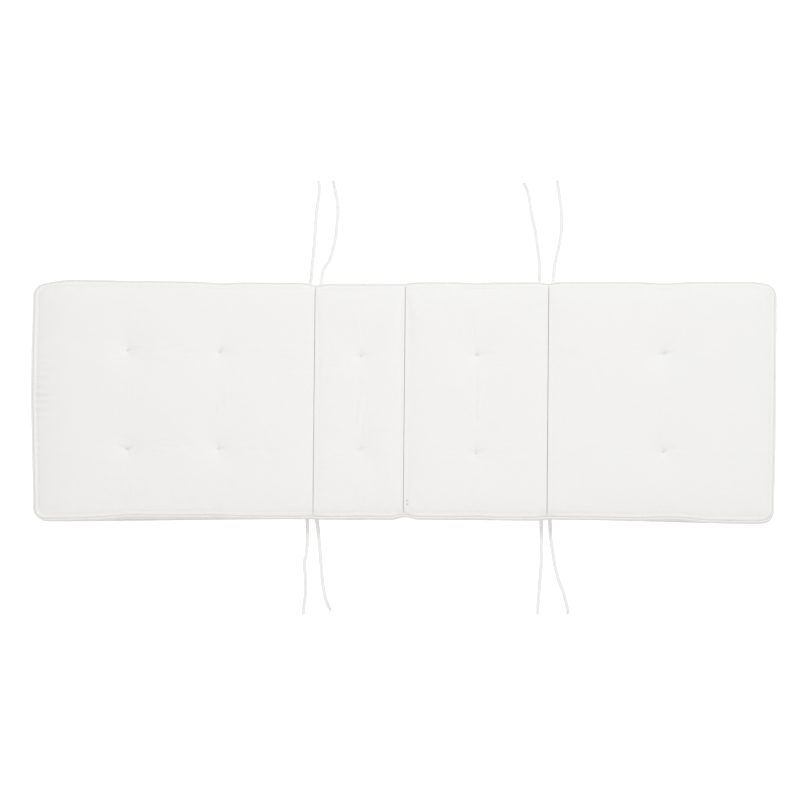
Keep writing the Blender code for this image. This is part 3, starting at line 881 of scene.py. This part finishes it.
def addCushion():
    folds = [(fold["x"], coverGrid["foldSteps"]) for fold in cushion["folds"]]
    columns = [(place, coverGrid["tuftSteps"]) for place in coverGrid["tuftColumns"]]
    rows = [(place, coverGrid["tuftSteps"]) for place in coverGrid["tuftRows"]]
    rows.append((0.0, coverGrid["puckerSteps"]))
    across, along = stations(halfLength, folds + columns), stations(halfWidth, rows)
    nu, nv = len(across), len(along)
    u, v = np.meshgrid(across, along, indexing="ij")
    top, bottom = topPanel(u, v), bottomPanel(u, v)
    topIndex = np.arange(nu * nv).reshape(nu, nv)
    bottomIndex = topIndex + nu * nv
    ringI = np.concatenate([np.arange(nu - 1), np.full(nv - 1, nu - 1), np.arange(nu - 1, 0, -1),
                            np.zeros(nv, int)])
    ringJ = np.concatenate([np.zeros(nu - 1, int), np.arange(nv - 1), np.full(nu - 1, nv - 1),
                            np.arange(nv - 1, -1, -1)])
    ringU, ringV = across[ringI], along[ringJ]  # once round, its first point again at the end
    run = runs(top[ringI, ringJ])
    blend = smooth((run[-1] - run) / coverGrid["bandJoin"])  # the band's noise meets itself where it closes
    levels = coverGrid["bandLevels"]
    bands = [bandAt(ringU, ringV, level, run * blend) for level in levels]
    count = len(ringI) - 1
    bandIndex = 2 * nu * nv + np.arange(count * len(levels)).reshape(len(levels), count)
    bandIndex = np.concatenate([bandIndex, bandIndex[:, :1]], axis=1)
    bandIndex = np.vstack([bottomIndex[ringI, ringJ], bandIndex, topIndex[ringI, ringJ]])
    points = np.vstack([top.reshape(-1, 3), bottom.reshape(-1, 3)] + [band[:-1] for band in bands])
    heights = np.array([0, *levels, 1]) * (cushion["topSeam"] - cushion["bottomSeam"])
    place = np.stack([u, v], axis=2)
    bandPlace = spread(run, 1 + heights)
    faces = np.vstack([quads(topIndex), quads(bottomIndex)[:, ::-1], quads(bandIndex.T)])
    places = np.vstack([quads(place), quads(place * (1, -1))[:, ::-1], quads(bandPlace.transpose(1, 0, 2))])
    piece = addPiece("filled_cover", points, faces, places, coverCanvas)
    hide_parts("cushion")
    print("cover", len(points), "points,", 2 * len(faces), "triangles")


addCushion()


# The two piped seams, and the lines of stitches

def squared(a, b):  # seamPlan's rounding of a corner undone
    base, twice = 2 + a * a - b * b, 2 * math.sqrt(2) * a
    return (np.sqrt(np.maximum(base + twice, 0)) - np.sqrt(np.maximum(base - twice, 0))) / 2


def seamRing(inside, step):  # points of the rectangle once round, this far in from the seam
    corner = cushion["seamCorner"]
    middleX, middleY, radius = halfLength - corner, halfWidth - corner, corner - inside
    turn = np.radians(np.linspace(0, 90, 19))
    line = []
    for signX, signY, start in ((1, -1, -90), (1, 1, 0), (-1, 1, 90), (-1, -1, 180)):
        angle = turn + math.radians(start)
        line.append(np.stack([
            signX * middleX + radius * np.cos(angle), signY * middleY + radius * np.sin(angle)
        ], axis=1))
    line = evenly(np.vstack(line), step, closed=True)
    a, b = (np.abs(line[:, 0]) - middleX) / corner, (np.abs(line[:, 1]) - middleY) / corner
    rounded = (a > 0) & (b > 0)
    a, b = np.where(rounded, a, 0), np.where(rounded, b, 0)
    u = np.where(rounded, np.sign(line[:, 0]) * (middleX + squared(a, b) * corner), line[:, 0])
    v = np.where(rounded, np.sign(line[:, 1]) * (middleY + squared(b, a) * corner), line[:, 1])
    return u, v


pipingSizes = {
    "radius": 0.0020,
    "out": 0.0020,
    "off": 0.0019,  # above the upper seam, below the lower
    "step": 0.0035,
    "sides": 10,
    "unevenness": 0.00012,
}


def addPiping(name, topShare):
    u, v = seamRing(0, pipingSizes["step"])
    x, y, outX, outY, _ = plan(u, v, topShare)
    low, high = seamHeights(u)
    height = high + pipingSizes["off"] if topShare else low - pipingSizes["off"]
    out = pipingSizes["out"]
    line = np.stack([x + outX * out, y + outY * out, height], axis=1)
    run = runs(np.vstack([line, line[:1]]))
    wobble = softNoise(run[:-1], run[:-1] * 0, 0.011, 61 if topShare else 67)
    way = unit(np.roll(line, -1, axis=0) - np.roll(line, 1, axis=0))
    outward = unit(np.cross(way, (0, 0, 1.0)))
    upright = np.cross(outward, way)
    sides = pipingSizes["sides"]
    angles = np.arange(sides) * (2 * math.pi / sides)
    radius = (pipingSizes["radius"] + pipingSizes["unevenness"] * (wobble - 1))[:, None, None]
    rings = line[:, None] + radius * (
        outward[:, None] * np.cos(angles)[None, :, None] + upright[:, None] * np.sin(angles)[None, :, None]
    )
    count = len(line)
    index = np.arange(count * sides).reshape(count, sides)
    index = np.vstack([index, index[:1]])
    index = np.concatenate([index, index[:, :1]], axis=1)
    girth = np.append(angles, 2 * math.pi) * pipingSizes["radius"]
    place = spread(girth, run)
    piece = addPiece(name + "_cord", rings.reshape(-1, 3), quads(index)[:, ::-1], quads(place)[:, ::-1],
                     pipingCanvas)
    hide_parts(name)


addPiping("piping_top", 1)
addPiping("piping_bottom", 0)
print("piping made")


stitching = {
    "length": 0.0030,
    "gap": 0.0010,
    "radius": 0.00028,
    "lens": (  # each stitch from its start to its end: share of its length, girth, lift
        (0, 0.35, -0.7), (0.12, 0.85, 0.25), (0.5, 1, 0.6), (0.88, 0.85, 0.25), (1, 0.35, -0.7)),
    "edgeIn": 0.0088,
    "edgeStep": 0.004,
    "foldEnd": 0.018,  # a fold's line stops this short of the seams
    "tuftBar": 0.0060,
    "tuftThreads": 4,
    "tuftApart": 1.9,  # in thread radii
    "tuftLean": 8,  # degrees
    "tuftLift": 0.0008,
    "foldTacks": ((0.011, -0.2095), (0.011, -0.2175)),
    "tackThreads": 3,
    "tackBar": 0.004,
    "tackApart": 0.0005,
    "tackLift": 0.0003,
    "tackThickness": 1.3,  # against the other stitches
}


def stitchRows(starts, ends, normals, radius):  # one lens of thread from each start to each end
    way, lengths = unit(ends - starts), np.linalg.norm(ends - starts, axis=1)
    side = unit(np.cross(normals, way))
    up = np.cross(way, side)
    shares, girths, lifts = np.array(stitching["lens"]).T
    angles = np.arange(6) * (math.pi / 3)
    centres = starts[:, None] + (ends - starts)[:, None] * shares[None, :, None]
    centres = centres + up[:, None] * (lifts * radius)[None, :, None]
    circle = side[:, None] * np.cos(angles)[None, :, None] + up[:, None] * np.sin(angles)[None, :, None]
    points = centres[:, :, None] + circle[:, None] * (girths * radius)[None, :, None, None]
    index = np.arange(points[..., 0].size).reshape(points.shape[:3])
    index = np.concatenate([index, index[:, :, :1]], axis=2)
    girth = np.append(angles, 2 * math.pi) * radius
    along = shares[None, :, None] * lengths[:, None, None]
    place = np.stack(np.broadcast_arrays(girth[None, None, :], along), axis=3)
    faces = np.vstack([quads(stitch) for stitch in index])
    places = np.vstack([quads(stitch) for stitch in place])
    return points.reshape(-1, 3), faces[:, ::-1], places[:, ::-1]


def panelNormals(panel, u, v, up):
    small = 0.0004
    one = panel(u + small, v) - panel(u - small, v)
    two = panel(u, v + small) - panel(u, v - small)
    return unit(np.cross(one, two)) * up


def lineStitches(panel, u, v, up, closed):  # a running line of stitches on a panel
    line = np.stack([u, v], axis=1)
    pace = stitching["length"] + stitching["gap"]
    line = evenly(line, pace, closed)
    after = np.roll(line, -1, axis=0)
    if not closed:
        line, after = line[:-1], line[1:]
    after = line + (after - line) * (stitching["length"] / pace)
    normals = panelNormals(panel, line[:, 0], line[:, 1], up)
    starts, ends = panel(line[:, 0], line[:, 1]), panel(after[:, 0], after[:, 1])
    return stitchRows(starts, ends, normals, stitching["radius"])


def bars(middles, leans, threads, bar, apart, lift, radius):  # threads side by side across each middle
    starts, ends = [], []
    for middle, lean in zip(middles, leans):
        way = np.array([math.cos(lean), math.sin(lean), 0])
        across = np.array([-way[1], way[0], 0])
        for row in range(threads):
            spot = middle + across * ((row - (threads - 1) / 2) * apart) + np.array([0, 0, lift])
            starts.append(spot - way * (bar / 2))
            ends.append(spot + way * (bar / 2))
    normals = np.tile((0, 0, math.copysign(1.0, lift)), (len(starts), 1))
    return stitchRows(np.array(starts), np.array(ends), normals, radius)


def tuftStitches(panel, up):  # a bar of thread across each tuft
    middles, leans = [], []
    for number, tuft in enumerate(cushion["tufts"]):
        u = tuft["x"] - cushion["slant"] * tuft["y"] * 0.5  # about where the plan's slant ends at the tuft
        height = panel(np.array([u]), np.array([tuft["y"]]))[0][2]
        middles.append(np.array([tuft["x"], tuft["y"], height]))
        leans.append(math.radians(stitching["tuftLean"] * math.sin(number * 2.1)))
    apart = stitching["radius"] * stitching["tuftApart"]
    return bars(middles, leans, stitching["tuftThreads"], stitching["tuftBar"], apart,
                up * stitching["tuftLift"], stitching["radius"])


def tackStitches():  # two bar tacks at the near end of the middle fold
    middles = [topPanel(np.array([x]), np.array([y]))[0] for x, y in stitching["foldTacks"]]
    radius = stitching["radius"] * stitching["tackThickness"]
    return bars(middles, [0.0] * len(middles), stitching["tackThreads"], stitching["tackBar"],
                stitching["tackApart"], stitching["tackLift"], radius)


def addStitches(name, rows, finish):
    points, faces, places, start = [], [], [], 0
    for rowPoints, rowFaces, rowPlaces in rows:
        points.append(rowPoints)
        faces.append(rowFaces + start)
        places.append(rowPlaces)
        start += len(rowPoints)
    piece = addPiece(name, np.vstack(points), np.vstack(faces), np.vstack(places), finish)


def foldLine(fold):
    end = halfWidth - stitching["foldEnd"]
    v = np.linspace(-end, end, 200)
    return np.full_like(v, fold["x"]), v


edgeU, edgeV = seamRing(stitching["edgeIn"], stitching["edgeStep"])
addStitches("edge_stitching", [lineStitches(topPanel, edgeU, edgeV, 1, True)], sewingThread)
foldRows = [lineStitches(topPanel, *foldLine(fold), 1, False) for fold in cushion["folds"]]
foldRows += [lineStitches(bottomPanel, *foldLine(fold), -1, False) for fold in cushion["folds"]]
addStitches("fold_stitching", foldRows, sewingThread)
addStitches("tuft_stitching", [tuftStitches(topPanel, 1), tuftStitches(bottomPanel, -1)], sewingThread)
addStitches("fold_tacks", [tackStitches()], tackThread)
print("stitches made")


# A plain white floor and soft light from above and the far right

studio = {
    "floorHalf": 6.0,
    "floorDrop": 0.0003,
    "floorColour": (0.86, 0.86, 0.86, 1),
    "floorGlow": 0.66,  # seen by the camera alone, so it lightens the floor's shadows and not the cloth
    "sky": (1.0, 0.993, 0.982, 1),
    "skyStrength": 0.735,
    "lamps": (
        {"at": (-0.30, 0.5, 2.0), "size": 1.2, "power": 5.2, "colour": (1.0, 0.98, 0.955)},
        {"at": (2.00, 2.5, 3.7), "size": 1.2, "power": 50.0, "colour": (0.92, 0.965, 1.0)},
        {"at": (0.0, -3.0, 0.7), "size": 1.5, "power": 7.5, "colour": (1.0, 0.98, 0.96)},
    ),
}


def addFloor():
    half, height = studio["floorHalf"], -studio["floorDrop"]
    mesh = bpy.data.meshes.new("floor")
    corners = [(-half, -half, height), (half, -half, height), (half, half, height), (-half, half, height)]
    mesh.from_pydata(corners, [], [(0, 1, 2, 3)])
    material, wire = startFinish("floorPaper")
    seen = wire.node("LightPath", {}, {})
    paper = wire.node("BsdfDiffuse", {}, {"Color": studio["floorColour"]})
    glow = wire.node("Emission", {}, {"Color": (1, 1, 1, 1), "Strength": studio["floorGlow"]})
    lit = wire.node("AddShader", {}, {0: paper, 1: glow})
    shader = wire.node("MixShader", {}, {0: seen, 1: paper, 2: lit})
    wire.node("OutputMaterial", {}, {"Surface": shader})
    mesh.materials.append(material)
    floor = bpy.data.objects.new("floor", mesh)
    bpy.context.scene.collection.objects.link(floor)


def addLight():
    world = bpy.data.worlds.new("studioSky")
    world.use_nodes = True
    sky = world.node_tree.nodes["Background"]
    sky.inputs["Color"].default_value = studio["sky"]
    sky.inputs["Strength"].default_value = studio["skyStrength"]
    bpy.context.scene.world = world
    for number, lamp in enumerate(studio["lamps"]):
        data = bpy.data.lights.new(f"softbox{number}", "AREA")
        data.shape = "SQUARE"
        data.size = lamp["size"]
        data.energy = lamp["power"]
        data.color = lamp["colour"]
        light = bpy.data.objects.new(f"softbox{number}", data)
        bpy.context.scene.collection.objects.link(light)
        light.location = lamp["at"]
        light.rotation_euler = (-Vector(lamp["at"])).to_track_quat("-Z", "Y").to_euler()
    bpy.context.scene.view_settings.view_transform = "Standard"


addFloor()
addLight()
print("studio lit")
